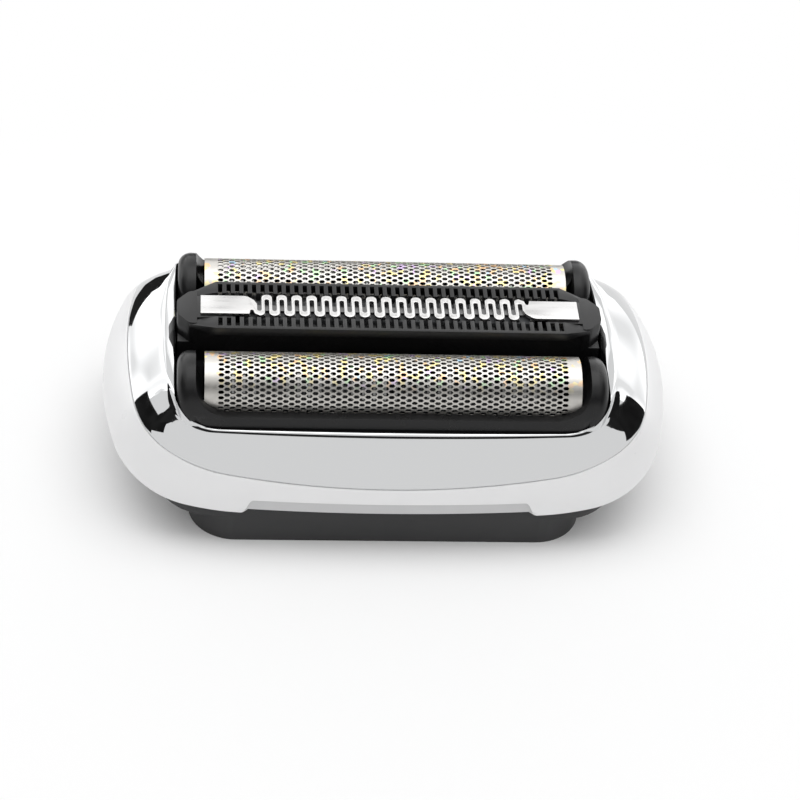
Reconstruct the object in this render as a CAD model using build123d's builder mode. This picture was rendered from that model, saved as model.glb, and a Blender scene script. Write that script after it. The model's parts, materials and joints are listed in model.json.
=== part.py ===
"""Foil head of an electric shaver: two floating foils, a middle trimmer and one shared drive bridge.

The head stands on its collar. +X runs along the foils, the front is -Y and +Z is up.
Millimetres. The origin is on the floor, under the middle of the head.
"""

import os
from math import cos, pi, radians, sin

from build123d import *

os.makedirs("parts", exist_ok=True)

# Main heights
collar_height = 4.4
ring_to_crown = 14.0

# Foils
foil_offset = 7.82
foil_radius = 3.5
foil_half_length = 19.4
foil_sheet = 0.12
foil_leg_depth = 8.0
foil_hole_columns = 8
foil_hole_rows = 3
foil_hole_pitch = 4.4
foil_hole_angle = 38.0
foil_hole_radius = 1.2

# Foil frames, with an ear at each end
frame_slip = 0.05
frame_wall = 1.0
frame_lip_drop = 3.95
frame_wall_height = 4.6
frame_corner_radius = 2.6
lip_corner_radius = 3.6
foil_end_gap = 0.1
ear_recess = 0.8
ear_length = 1.9
ear_rise = 0.2
ear_bevel = 1.2

# Room round the frames
opening_side_gap = 0.3
opening_end_gap = 0.3
well_side_gap = 0.2
well_end_gap = 0.4
trimmer_side_gap = 0.22

# Floating travel, with the tongues and grooves that guide it
foil_travel = 2.0
tongue_length = 1.0
tongue_width = 2.4
tongue_height = 1.8
groove_slip = 0.1
groove_spare = 1.15
stop_gap = 0.05

# Outer skin: height above the ring's lower edge, then how far it stands outside the bezel's opening
skin_levels = [
    (0.0, 6.3, 3.75),
    (2.2, 7.1, 3.45),
    (5.4, 7.5, 2.3),
    (8.6, 6.6, 0.5),
    (11.0, 4.5, -1.0),
    (13.2, 0.8, -2.6),
]
skin_end_bow = 3.0
skin_side_bow = 1.6
skin_corner_radius = 7.5
seam_gap = 0.08

# Hoop of the cassette frame, which stands inside the ring and under the bezel
hoop_end_margin = 3.2
hoop_side_margin = 1.2
hoop_corner_bevel = 5.0

# Saddle curves along X, as heights above the ring's lower edge
foot_half_flat = 15.6
foot_end_rise = 4.0
seam_middle = 3.4
seam_crown = 1.0
seam_half_flat = 17.0
seam_end = 10.8
seam_end_inset = 2.5
rim_middle = 8.7
rim_half_flat = 18.5
rim_end = 12.4
rim_end_inset = 6.5

# Grip notch at the front and back of the ring
notch_half_length = 15.4
notch_height = 1.7
notch_depth = 0.45
notch_end_radius = 1.2

# Collar that fits over the shaver's neck, its wider shoulder, and the well above them
collar_inset = 1.2
collar_end_inset = 8.0
collar_wall = 1.5
collar_corner_radius = 5.0
shoulder_end_inset = 4.6
shoulder_sheet = 1.0
shoulder_corner_radius = 6.0
well_corner_radius = 2.2

# Trimmer strip, cut from both sides into a serpentine
strip_half_length = 19.85
strip_width = 2.95
strip_sheet = 0.35
strip_rise = 0.94
wave_pitch = 1.57
wave_count = 18
wave_slot = 0.46
wave_web = 0.9
wave_bevel = 0.34

# Moving trimmer blade and its carrier
blade_slip = 0.05
blade_sheet = 0.3
blade_half_length = 15.2
blade_width = 2.6
blade_spine = 0.9
blade_slot = 1.1
blade_carrier_slip = 0.3
blade_carrier_height = 3.0
blade_leg_length = 4.4

# Trimmer housing with a comb guard along each side
trimmer_travel = 1.5
comb_half_width = 3.85
comb_drop = 0.06
comb_height = 0.95
comb_gap = 0.5
comb_rail = 0.4
comb_pitch = 0.89
comb_slots = 41
comb_slot = 0.46
ramp_length = 2.75
ramp_drop = 0.6
stem_half_width = 2.55
stem_wall = 0.75
seat_height = 3.4
strip_end_gap = 0.35
cap_drop = 0.35
cap_height = 2.6
cap_overhang = 0.1
cap_half_width = 2.65
cap_cheek_length = 0.75
cap_nose_length = 1.3
cap_shoulder_radius = 1.0
cap_nose_half_width = 1.1
cap_nose_radius = 1.0

# Arched cutters
cutter_gap = 0.12
cutter_count = 7
cutter_pitch = 5.5
cutter_sheet = 0.3
cutter_half_angle = 78.0
cutter_rim = 1.2
cutter_window_base = 1.5
cutter_window_top = 1.1
carrier_drop = 3.9
carrier_half_width = 2.2
carrier_height = 2.6
carrier_end_margin = 0.8

# Drive bridge, sliding on two ledges of the cassette frame
drive_travel = 1.0
bridge_rise = 1.9
bridge_sheet = 1.2
bridge_half_length = 14.0
bridge_side_gap = 0.2
bridge_slip = 0.08
bridge_corner_radius = 2.0
bridge_window_length = 5.0
bridge_window_width = 3.2
ledge_width = 1.2
ledge_height = 1.1
ledge_half_length = 15.5
peg_length = 1.9
peg_width = 2.2
peg_slip = 0.05
peg_engagement = 0.9
peg_head_room = 0.4
boss_length = 7.0
boss_width = 6.0
boss_height = 1.0
drive_slot_length = 3.0
drive_slot_width = 4.6
drive_slot_depth = 1.7

# Springs, each round a post of the bridge and up into a socket of its carrier
spring_offset = 10.0
trimmer_spring_offset = 6.5
spring_radius = 1.1
spring_wire = 0.34
spring_turns = 3
spring_steps = 6
socket_slip = 0.2
socket_depth = 1.2
post_slip = 0.2
post_rib = 0.5
post_height = 1.6
spring_seat_gap = 0.03

# Places worked out from the sizes above
foot_z = collar_height
crown_z = foot_z + ring_to_crown
arch_z = crown_z - foil_radius
lip_z = crown_z - frame_lip_drop
wall_bottom_z = lip_z - frame_wall_height
ear_top_z = crown_z + ear_rise
groove_top_z = foot_z + groove_spare + foil_travel + tongue_height + stop_gap
tongue_top_z = groove_top_z - stop_gap
tongue_bottom_z = tongue_top_z - tongue_height
slot_half_width = foil_radius + frame_slip
slot_half_length = foil_half_length + foil_end_gap
ear_inner_x = slot_half_length + ear_recess
stem_half_length = strip_half_length + strip_end_gap
comb_half_length = comb_slots * comb_pitch / 2
comb_end = max(comb_half_length + ramp_length, stem_half_length + cap_cheek_length)
frame_half_length = max(ear_inner_x + ear_length, comb_end + cap_nose_length - cap_overhang)
frame_outer_y = foil_offset + slot_half_width + frame_wall
frame_inner_y = foil_offset - slot_half_width - frame_wall
ear_inner_y = comb_half_width + trimmer_side_gap
ear_radius = (frame_outer_y - ear_inner_y) / 2
opening_half_length = frame_half_length + opening_end_gap
opening_half_depth = frame_outer_y + opening_side_gap
opening_corner_radius = ear_bevel + 2 * opening_end_gap
hoop_half_length = opening_half_length + hoop_end_margin
hoop_half_depth = opening_half_depth + hoop_side_margin
well_half_length = frame_half_length + well_end_gap
well_half_depth = frame_outer_y + well_side_gap
widest_half_length = opening_half_length + max(level[1] for level in skin_levels)
collar_half_length = opening_half_length + skin_levels[0][1] - collar_end_inset
shoulder_half_length = opening_half_length + skin_levels[0][1] - shoulder_end_inset
collar_half_depth = opening_half_depth + skin_levels[0][2] - collar_inset
strip_top_z = crown_z + strip_rise
strip_bottom_z = strip_top_z - strip_sheet
blade_top_z = strip_bottom_z - blade_slip
blade_bottom_z = blade_top_z - blade_sheet
comb_top_z = strip_top_z - comb_drop
comb_bottom_z = comb_top_z - comb_height
comb_inner_y = strip_width / 2 + comb_gap
stem_inner_y = stem_half_width - stem_wall
carrier_top_z = crown_z - carrier_drop
carrier_bottom_z = carrier_top_z - carrier_height
carrier_half_length = (cutter_count - 1) / 2 * cutter_pitch + carrier_end_margin
bridge_bottom_z = foot_z + bridge_rise
bridge_top_z = bridge_bottom_z + bridge_sheet
spring_top_z = carrier_bottom_z + socket_depth
socket_radius = spring_radius + spring_wire / 2 + socket_slip
post_radius = spring_radius - spring_wire / 2 - post_slip
beyond = 3 * widest_half_length


def skin(inset):
    """The whole outer body through its levels, drawn in all round by an inset."""
    with BuildPart() as body:
        for rise, over_length, over_depth in skin_levels:
            length = opening_half_length + over_length - inset
            depth = opening_half_depth + over_depth - inset
            corner_x = length - skin_end_bow
            corner_y = depth - skin_side_bow
            with BuildSketch(Plane.XY.offset(foot_z + rise)) as level:
                with BuildLine():
                    ThreePointArc((-corner_x, -corner_y), (0, -depth), (corner_x, -corner_y))
                    ThreePointArc((corner_x, -corner_y), (length, 0), (corner_x, corner_y))
                    ThreePointArc((corner_x, corner_y), (0, depth), (-corner_x, corner_y))
                    ThreePointArc((-corner_x, corner_y), (-length, 0), (-corner_x, -corner_y))
                make_face()
                fillet(level.vertices(), skin_corner_radius - inset)
        loft(ruled=True)
    return body.part


def hoop_block(margin):
    """The block that fills the hoop of the cassette frame, grown all round by a margin."""
    with BuildPart() as block:
        with BuildSketch(Plane.XY.offset(foot_z)) as outline:
            Rectangle(2 * (hoop_half_length + margin), 2 * (hoop_half_depth + margin))
            chamfer(outline.vertices(), hoop_corner_bevel)
        extrude(amount=ring_to_crown)
    return block.part


def above_saddle(middle, crown, half_flat, end_inset, end):
    """Everything above a saddle curve that is drawn along X and runs right through in Y."""
    low = foot_z + middle
    end_point = (widest_half_length - end_inset, foot_z + end)
    with BuildPart() as block:
        with BuildSketch(Plane.XZ) as upper:
            with BuildLine():
                if crown > 0:
                    quarter = (half_flat / 2, low + crown / 4)
                    floor = ThreePointArc((0, low), quarter, (half_flat, low + crown))
                else:
                    floor = Line((0, low), (half_flat, low))
                rise = TangentArc(floor @ 1, end_point, tangent=floor % 1)
                run_out = Line(rise @ 1, rise @ 1 + (rise % 1) * beyond)
                corner_x = (run_out @ 1).X
                corner_z = (run_out @ 1).Y + beyond
                Polyline(run_out @ 1, (corner_x, corner_z), (0, corner_z), (0, low))
            make_face()
            mirror(about=Plane.YZ)
        extrude(upper.sketch, amount=beyond, both=True)
    return block.part


# Shared shapes of the body
outer_skin = skin(0)
notch_skin = skin(notch_depth)
above_foot = above_saddle(0, 0, foot_half_flat, 0, foot_end_rise)
above_seam = above_saddle(seam_middle, seam_crown, seam_half_flat, seam_end_inset, seam_end)
above_seam_gap = above_saddle(
    seam_middle - seam_gap, seam_crown, seam_half_flat, seam_end_inset, seam_end - seam_gap
)
above_rim = above_saddle(rim_middle, 0, rim_half_flat, rim_end_inset, rim_end)

# Opening in the middle of the bezel
with BuildPart() as opening:
    with BuildSketch(Plane.XY.offset(foot_z)):
        RectangleRounded(2 * opening_half_length, 2 * opening_half_depth, opening_corner_radius)
    extrude(amount=ring_to_crown)

# Recess of the grip notch, right through in Y and only as deep as its step
with BuildPart() as notch_recess:
    with BuildSketch(Plane.XZ) as notch_outline:
        with BuildLine():
            Polyline(
                (-notch_half_length, foot_z - notch_height),
                (-notch_half_length, foot_z),
                (-notch_half_length + notch_height, foot_z + notch_height),
                (notch_half_length - notch_height, foot_z + notch_height),
                (notch_half_length, foot_z),
                (notch_half_length, foot_z - notch_height),
                close=True,
            )
        make_face()
        fillet(notch_outline.vertices().group_by(Axis.Y)[-1], notch_end_radius)
    extrude(amount=beyond, both=True)
    add(notch_skin, mode=Mode.SUBTRACT)

# White ring below the seam
with BuildPart() as base_ring:
    add(outer_skin)
    add(above_foot, mode=Mode.INTERSECT)
    add(above_seam_gap, mode=Mode.SUBTRACT)
    add(hoop_block(seam_gap), mode=Mode.SUBTRACT)
    add(notch_recess.part, mode=Mode.SUBTRACT)

# Chromed bezel above the seam
with BuildPart() as chrome_bezel:
    add(outer_skin)
    add(above_seam, mode=Mode.INTERSECT)
    add(above_rim, mode=Mode.SUBTRACT)
    add(opening.part, mode=Mode.SUBTRACT)

# Cassette frame: collar, shoulder for the shaver's neck, hoop inside the ring, ledges and guide grooves
with BuildPart() as hoop_limit:
    add(above_foot)
    with BuildSketch(Plane.XY.offset(foot_z)) as shoulder_outline:
        RectangleRounded(2 * shoulder_half_length, 2 * collar_half_depth, shoulder_corner_radius)
    extrude(amount=ring_to_crown)

with BuildPart() as cassette_frame:
    add(hoop_block(0))
    add(hoop_limit.part, mode=Mode.INTERSECT)
    add(above_seam_gap, mode=Mode.SUBTRACT)
    extrude(shoulder_outline.sketch, amount=-shoulder_sheet)
    with BuildSketch(Plane.XY):
        RectangleRounded(2 * collar_half_length, 2 * collar_half_depth, collar_corner_radius)
    extrude(amount=foot_z)
    with BuildSketch(Plane.XY):
        RectangleRounded(
            2 * (collar_half_length - collar_wall),
            2 * (collar_half_depth - collar_wall),
            collar_corner_radius - collar_wall,
        )
    extrude(amount=foot_z, mode=Mode.SUBTRACT)
    with BuildSketch(Plane.XY.offset(foot_z)):
        RectangleRounded(2 * well_half_length, 2 * well_half_depth, well_corner_radius)
    extrude(amount=ring_to_crown, mode=Mode.SUBTRACT)
    with BuildSketch(Plane.XY.offset(bridge_bottom_z - bridge_slip)):
        with GridLocations(0, 2 * well_half_depth - ledge_width, 1, 2):
            Rectangle(2 * ledge_half_length, ledge_width)
    extrude(amount=-ledge_height)
    with BuildSketch(Plane.XY.offset(foot_z)):
        with GridLocations(0, foil_offset, 1, 3):
            Rectangle(2 * (frame_half_length + tongue_length + groove_slip), tongue_width + 2 * groove_slip)
    extrude(amount=groove_top_z - foot_z, mode=Mode.SUBTRACT)

# Ear that stands at each end of a foil frame: half-round over the foil and bevelled towards the outside
with BuildPart() as frame_ear:
    with BuildSketch(Plane.YZ.offset(ear_inner_x)) as ear_outline:
        with Locations((-ear_inner_y - ear_radius, ear_top_z - ear_radius)):
            Circle(ear_radius)
            Rectangle(
                2 * ear_radius, ear_top_z - ear_radius - tongue_bottom_z, align=(Align.CENTER, Align.MAX)
            )
    extrude(amount=frame_half_length - ear_inner_x)
    ear_rim = frame_ear.faces().sort_by(Axis.X)[-1].edges().sort_by(Axis.Z)[1:]
    chamfer(ear_rim, ear_bevel)

# Rounded corner between an ear and the frame's front lip, as deep as the front half of the ear
with BuildPart() as lip_corner:
    with BuildSketch(Plane.XZ.offset(frame_outer_y)):
        with BuildLine():
            Polyline(
                (ear_inner_x - lip_corner_radius, lip_z),
                (ear_inner_x, lip_z),
                (ear_inner_x, lip_z + lip_corner_radius),
            )
            CenterArc(
                (ear_inner_x - lip_corner_radius, lip_z + lip_corner_radius), lip_corner_radius, 270, 90
            )
        make_face()
    extrude(amount=foil_offset - frame_outer_y)
    extrude(ear_outline.sketch, amount=-lip_corner_radius, mode=Mode.INTERSECT)

# Front foil frame: a hoop round the foil's legs, an ear at each end and the guide tongues
with BuildPart() as front_foil_frame:
    with BuildSketch(Plane.XY.offset(wall_bottom_z)):
        with Locations((0, -foil_offset)):
            RectangleRounded(2 * frame_half_length, frame_outer_y - frame_inner_y, frame_corner_radius)
    extrude(amount=frame_wall_height)
    for corner_piece in (frame_ear.part, lip_corner.part):
        add(corner_piece)
        mirror(corner_piece, about=Plane.YZ)
    with BuildSketch(Plane.XY.offset(tongue_bottom_z)):
        with Locations((0, -foil_offset)):
            Rectangle(2 * (frame_half_length + tongue_length), tongue_width)
    extrude(amount=tongue_height)
    with BuildSketch(Plane.YZ):
        with Locations((-foil_offset, arch_z)):
            Circle(slot_half_width)
            Rectangle(2 * slot_half_width, arch_z - tongue_bottom_z, align=(Align.CENTER, Align.MAX))
    extrude(amount=slot_half_length, both=True, mode=Mode.SUBTRACT)

# Front foil: thin sheet bent over an arch, with rows of six-sided holes
with BuildPart() as front_foil:
    with BuildSketch(Plane.YZ):
        with Locations((-foil_offset, arch_z)):
            Circle(foil_radius)
            Rectangle(2 * foil_radius, foil_leg_depth - foil_radius, align=(Align.CENTER, Align.MAX))
            Circle(foil_radius - foil_sheet, mode=Mode.SUBTRACT)
            Rectangle(
                2 * (foil_radius - foil_sheet),
                foil_leg_depth - foil_radius,
                align=(Align.CENTER, Align.MAX),
                mode=Mode.SUBTRACT,
            )
    extrude(amount=foil_half_length, both=True)
    for row in range(foil_hole_rows):
        row_angle = radians((row - (foil_hole_rows - 1) / 2) * foil_hole_angle)
        row_shift = (row % 2) * foil_hole_pitch / 2
        outward = (0, sin(row_angle), cos(row_angle))
        with BuildSketch(Plane((0, -foil_offset, arch_z), x_dir=(1, 0, 0), z_dir=outward)):
            with Locations((row_shift - foil_hole_pitch / 4, 0)):
                with GridLocations(foil_hole_pitch, 0, foil_hole_columns, 1):
                    RegularPolygon(foil_hole_radius, 6)
        extrude(amount=2 * foil_radius, mode=Mode.SUBTRACT)

# Front cutter: arched blades that run just under the foil
cutter_radius = foil_radius - foil_sheet - cutter_gap
shoulder_y = cutter_radius * sin(radians(cutter_half_angle))
shoulder_z = cutter_radius * cos(radians(cutter_half_angle))
foot_drop = carrier_top_z - arch_z
window_z = cutter_radius - cutter_rim
with BuildPart() as front_cutter_blades:
    for index in range(cutter_count):
        blade_x = (index - (cutter_count - 1) / 2) * cutter_pitch - cutter_sheet / 2
        with BuildSketch(Plane((blade_x, -foil_offset, arch_z), x_dir=(0, 1, 0), z_dir=(1, 0, 0))):
            with BuildLine():
                ThreePointArc((-shoulder_y, shoulder_z), (0, cutter_radius), (shoulder_y, shoulder_z))
                Polyline(
                    (shoulder_y, shoulder_z),
                    (carrier_half_width, foot_drop),
                    (cutter_window_base, foot_drop),
                    (cutter_window_top, window_z),
                    (-cutter_window_top, window_z),
                    (-cutter_window_base, foot_drop),
                    (-carrier_half_width, foot_drop),
                    (-shoulder_y, shoulder_z),
                )
            make_face()
        extrude(amount=cutter_sheet)

# Front cutter carrier: bar under the blades, with a slot for the drive peg and two spring sockets
with BuildPart() as front_cutter_carrier:
    with BuildSketch(Plane.XY.offset(carrier_bottom_z)):
        with Locations((0, -foil_offset)):
            Rectangle(2 * carrier_half_length, 2 * carrier_half_width)
    extrude(amount=carrier_height)
    with BuildSketch(Plane.XY.offset(carrier_bottom_z)):
        with Locations((0, -foil_offset)):
            Rectangle(peg_length + 2 * peg_slip, peg_width + 2 * peg_slip)
    extrude(amount=carrier_height, mode=Mode.SUBTRACT)
    with BuildSketch(Plane.XY.offset(carrier_bottom_z)):
        with Locations((-spring_offset, -foil_offset), (spring_offset, -foil_offset)):
            Circle(socket_radius)
    extrude(amount=socket_depth, mode=Mode.SUBTRACT)

# Rear foil, frame and cutter are the front ones turned over to the other side
with BuildPart() as rear_foil_frame:
    add(mirror(front_foil_frame.part, about=Plane.XZ, mode=Mode.PRIVATE))
with BuildPart() as rear_foil:
    add(mirror(front_foil.part, about=Plane.XZ, mode=Mode.PRIVATE))
with BuildPart() as rear_cutter_blades:
    add(mirror(front_cutter_blades.part, about=Plane.XZ, mode=Mode.PRIVATE))
with BuildPart() as rear_cutter_carrier:
    add(mirror(front_cutter_carrier.part, about=Plane.XZ, mode=Mode.PRIVATE))

# Trimmer housing: stem walls, seats for the strip, comb guards, end caps and guide tongues
seat_start = blade_half_length + drive_travel + blade_carrier_slip
cap_half_length = frame_half_length + cap_overhang
cap_top_z = comb_top_z - cap_drop
with BuildPart() as trimmer_housing:
    with BuildSketch(Plane.XZ.offset(-comb_half_width)):
        with BuildLine():
            Polyline(
                (-comb_end, comb_bottom_z),
                (-comb_end, comb_top_z - ramp_drop),
                (-comb_half_length, comb_top_z),
                (comb_half_length, comb_top_z),
                (comb_end, comb_top_z - ramp_drop),
                (comb_end, comb_bottom_z),
                close=True,
            )
        make_face()
    extrude(amount=2 * comb_half_width)
    with BuildSketch(Plane.XY.offset(comb_bottom_z)):
        with BuildLine():
            Polyline(
                (comb_half_length, comb_half_width),
                (comb_end, comb_half_width),
                (comb_end, cap_half_width),
                close=True,
            )
        make_face()
        mirror(about=Plane.XZ)
        mirror(about=Plane.YZ)
        Rectangle(2 * comb_end, 2 * comb_inner_y)
        with GridLocations(comb_pitch, 0, comb_slots, 1):
            Rectangle(comb_slot, 2 * (comb_half_width - comb_rail))
    extrude(amount=comb_height, mode=Mode.SUBTRACT)
    with BuildSketch(Plane.XY.offset(wall_bottom_z)):
        with GridLocations(0, 2 * stem_half_width - stem_wall, 1, 2):
            Rectangle(2 * stem_half_length, stem_wall)
    extrude(amount=comb_bottom_z - wall_bottom_z)
    with BuildSketch(Plane.XY.offset(strip_bottom_z - seat_height)):
        with GridLocations(seat_start + stem_half_length, 0, 2, 1):
            Rectangle(stem_half_length - seat_start, 2 * stem_half_width)
    extrude(amount=comb_bottom_z - strip_bottom_z + seat_height)
    with BuildSketch(Plane.XY.offset(comb_bottom_z)):
        with GridLocations(seat_start + stem_half_length, 0, 2, 1):
            Rectangle(stem_half_length - seat_start, 2 * stem_inner_y)
    extrude(amount=strip_bottom_z - comb_bottom_z)
    with BuildSketch(Plane.XY.offset(cap_top_z)) as cap_outline:
        with BuildLine():
            Polyline(
                (stem_half_length, -cap_half_width),
                (comb_end, -cap_half_width),
                (cap_half_length, -cap_nose_half_width),
                (cap_half_length, cap_nose_half_width),
                (comb_end, cap_half_width),
                (stem_half_length, cap_half_width),
                close=True,
            )
        make_face()
        fillet(cap_outline.vertices().group_by(Axis.X)[-1], cap_nose_radius)
        fillet(cap_outline.vertices().filter_by_position(Axis.X, comb_end, comb_end), cap_shoulder_radius)
    extrude(amount=-cap_height)
    mirror(about=Plane.YZ)
    with BuildSketch(Plane.XY.offset(tongue_bottom_z)):
        with GridLocations(stem_half_length + frame_half_length, 0, 2, 1):
            Rectangle(frame_half_length - stem_half_length, 2 * stem_half_width)
    extrude(amount=cap_top_z - cap_height - tongue_bottom_z)
    with BuildSketch(Plane.XY.offset(tongue_bottom_z)):
        with GridLocations(2 * frame_half_length, 0, 2, 1):
            Rectangle(2 * tongue_length, tongue_width)
    extrude(amount=tongue_height)

# Trimmer strip: slots from alternate sides leave a serpentine between two flat ends
half_strip = strip_width / 2
slot_reach = strip_width - wave_web
with BuildPart() as trimmer_strip:
    with BuildSketch(Plane.XY.offset(strip_bottom_z)) as serpentine:
        Rectangle(2 * strip_half_length, strip_width)
        with Locations((-wave_pitch / 4, half_strip)):
            with GridLocations(wave_pitch, 0, wave_count, 1):
                Rectangle(wave_slot, slot_reach, align=(Align.CENTER, Align.MAX), mode=Mode.SUBTRACT)
        with Locations((wave_pitch / 4, -half_strip)):
            with GridLocations(wave_pitch, 0, wave_count, 1):
                Rectangle(wave_slot, slot_reach, align=(Align.CENTER, Align.MIN), mode=Mode.SUBTRACT)
        wave_corners = serpentine.vertices().filter_by_position(
            Axis.X, -strip_half_length, strip_half_length, inclusive=(False, False)
        )
        outer_corners = wave_corners.group_by(Axis.Y)[0] + wave_corners.group_by(Axis.Y)[-1]
        chamfer(outer_corners, wave_bevel)
    extrude(amount=strip_sheet)

# Trimmer blade: toothed plate that slides under the strip
blade_slot_count = int(2 * blade_half_length / wave_pitch)
with BuildPart() as trimmer_blade:
    with BuildSketch(Plane.XY.offset(blade_bottom_z)):
        Rectangle(2 * blade_half_length, blade_width)
        with GridLocations(wave_pitch, blade_width, blade_slot_count, 2):
            Rectangle(blade_slot, blade_width - blade_spine, mode=Mode.SUBTRACT)
    extrude(amount=blade_sheet)

# Trimmer blade carrier: bar under the blade, a slotted leg for the drive peg and two spring legs
blade_carrier_half_width = stem_inner_y - blade_carrier_slip
with BuildPart() as trimmer_blade_carrier:
    with BuildSketch(Plane.XY.offset(blade_bottom_z)):
        Rectangle(2 * blade_half_length, 2 * blade_carrier_half_width)
    extrude(amount=-blade_carrier_height)
    with BuildSketch(Plane.XY.offset(blade_bottom_z - blade_carrier_height)):
        Rectangle(blade_leg_length, 2 * blade_carrier_half_width)
    extrude(amount=carrier_bottom_z + blade_carrier_height - blade_bottom_z)
    with BuildSketch(Plane.XY.offset(blade_bottom_z - blade_carrier_height)):
        with GridLocations(2 * trimmer_spring_offset, 0, 2, 1):
            Rectangle(blade_leg_length, 2 * blade_carrier_half_width)
    extrude(amount=spring_top_z + blade_carrier_height - blade_bottom_z)
    with BuildSketch(Plane.XY.offset(carrier_bottom_z)):
        Rectangle(peg_length + 2 * peg_slip, peg_width + 2 * peg_slip)
    extrude(amount=peg_engagement + trimmer_travel + peg_head_room, mode=Mode.SUBTRACT)

# Drive bridge: plate with three pegs, six spring posts and the slot for the shaver's drive pin
bridge_half_depth = well_half_depth - bridge_side_gap
spring_places = [
    (-spring_offset, -foil_offset),
    (spring_offset, -foil_offset),
    (-spring_offset, foil_offset),
    (spring_offset, foil_offset),
    (-trimmer_spring_offset, 0),
    (trimmer_spring_offset, 0),
]
with BuildPart() as drive_bridge:
    with BuildSketch(Plane.XY.offset(bridge_bottom_z)):
        RectangleRounded(2 * bridge_half_length, 2 * bridge_half_depth, bridge_corner_radius)
        with GridLocations(trimmer_spring_offset + peg_length, foil_offset, 2, 2):
            Rectangle(bridge_window_length, bridge_window_width, mode=Mode.SUBTRACT)
    extrude(amount=bridge_sheet)
    with BuildSketch(Plane.XY.offset(bridge_top_z)):
        with GridLocations(0, foil_offset, 1, 3):
            Rectangle(peg_length, peg_width)
    extrude(amount=carrier_bottom_z + peg_engagement - bridge_top_z)
    with BuildSketch(Plane.XY.offset(bridge_top_z)):
        with Locations(*spring_places):
            Rectangle(2 * post_radius, post_rib)
            Rectangle(post_rib, 2 * post_radius)
    extrude(amount=post_height)
    with BuildSketch(Plane.XY.offset(bridge_bottom_z)):
        Rectangle(boss_length, boss_width)
    extrude(amount=-boss_height)
    with BuildSketch(Plane.XY.offset(bridge_bottom_z - boss_height)):
        Rectangle(drive_slot_length, drive_slot_width)
    extrude(amount=drive_slot_depth, mode=Mode.SUBTRACT)

# Coil spring, drawn once as a square wire wound in short straight steps
spring_bottom = bridge_top_z + spring_seat_gap + spring_wire / 2
spring_rise = spring_top_z - spring_seat_gap - spring_wire / 2 - spring_bottom
step_count = spring_turns * spring_steps
coil_points = [
    (
        spring_radius * cos(2 * pi * step / spring_steps),
        spring_radius * sin(2 * pi * step / spring_steps),
        spring_bottom + spring_rise * step / step_count,
    )
    for step in range(step_count + 1)
]
with BuildPart() as coil_spring:
    with BuildLine() as coil_path:
        Polyline(*coil_points)
    with BuildSketch(Plane(coil_path.line @ 0, z_dir=coil_path.line % 0)):
        Rectangle(spring_wire, spring_wire)
    sweep(transition=Transition.RIGHT)

nodes = {
    "base_ring": base_ring,
    "chrome_bezel": chrome_bezel,
    "cassette_frame": cassette_frame,
    "front_foil_frame": front_foil_frame,
    "front_foil": front_foil,
    "front_cutter_blades": front_cutter_blades,
    "front_cutter_carrier": front_cutter_carrier,
    "rear_foil_frame": rear_foil_frame,
    "rear_foil": rear_foil,
    "rear_cutter_blades": rear_cutter_blades,
    "rear_cutter_carrier": rear_cutter_carrier,
    "trimmer_housing": trimmer_housing,
    "trimmer_strip": trimmer_strip,
    "trimmer_blade": trimmer_blade,
    "trimmer_blade_carrier": trimmer_blade_carrier,
    "drive_bridge": drive_bridge,
}
spring_names = [
    "front_spring_left",
    "front_spring_right",
    "rear_spring_left",
    "rear_spring_right",
    "trimmer_spring_left",
    "trimmer_spring_right",
]
for spring_name, place in zip(spring_names, spring_places):
    with BuildPart() as spring:
        with Locations(place):
            add(coil_spring.part)
    nodes[spring_name] = spring

for name, node in nodes.items():
    node.part.label = name
    export_step(node.part, f"parts/{name}.step")
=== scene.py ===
"""Foil head of an electric shaver: the looks of its pieces, and the studio that it stands in.

Metres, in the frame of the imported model: +X runs along the foils, the front is -Y and +Z is up.
"""

import json
from contextlib import contextmanager
from math import atan2, cos, pi, radians, sin, sqrt

import bmesh
import bpy
from bpy.props import FloatProperty, FloatVectorProperty, IntProperty, PointerProperty
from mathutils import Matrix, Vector


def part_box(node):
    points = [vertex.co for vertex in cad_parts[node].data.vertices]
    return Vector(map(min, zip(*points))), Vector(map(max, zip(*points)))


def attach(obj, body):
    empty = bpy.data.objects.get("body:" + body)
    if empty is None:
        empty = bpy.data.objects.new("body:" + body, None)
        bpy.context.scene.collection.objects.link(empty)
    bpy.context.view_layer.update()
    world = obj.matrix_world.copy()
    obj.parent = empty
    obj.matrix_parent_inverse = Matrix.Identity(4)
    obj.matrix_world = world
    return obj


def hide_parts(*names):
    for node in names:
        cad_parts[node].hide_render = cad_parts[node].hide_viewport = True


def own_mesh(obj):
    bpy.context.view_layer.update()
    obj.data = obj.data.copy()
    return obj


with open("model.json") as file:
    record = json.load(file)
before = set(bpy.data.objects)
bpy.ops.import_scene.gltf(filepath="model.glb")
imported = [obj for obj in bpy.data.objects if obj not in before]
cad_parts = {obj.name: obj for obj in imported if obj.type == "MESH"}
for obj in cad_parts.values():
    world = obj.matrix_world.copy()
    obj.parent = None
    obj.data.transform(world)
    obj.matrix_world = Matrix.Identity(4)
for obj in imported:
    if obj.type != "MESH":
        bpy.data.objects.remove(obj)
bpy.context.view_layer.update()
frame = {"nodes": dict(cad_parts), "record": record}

bl_info = {
    "name": "Shaver Foil Head",
    "version": (1, 0, 0),
    "blender": (4, 5, 0),
    "location": "3D View > Sidebar > Foil Head",
    "description": "Dresses a shaver foil head: shell, foils, frames, trimmer, springs and stage",
    "category": "Object",
}

MM = 0.001

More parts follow.
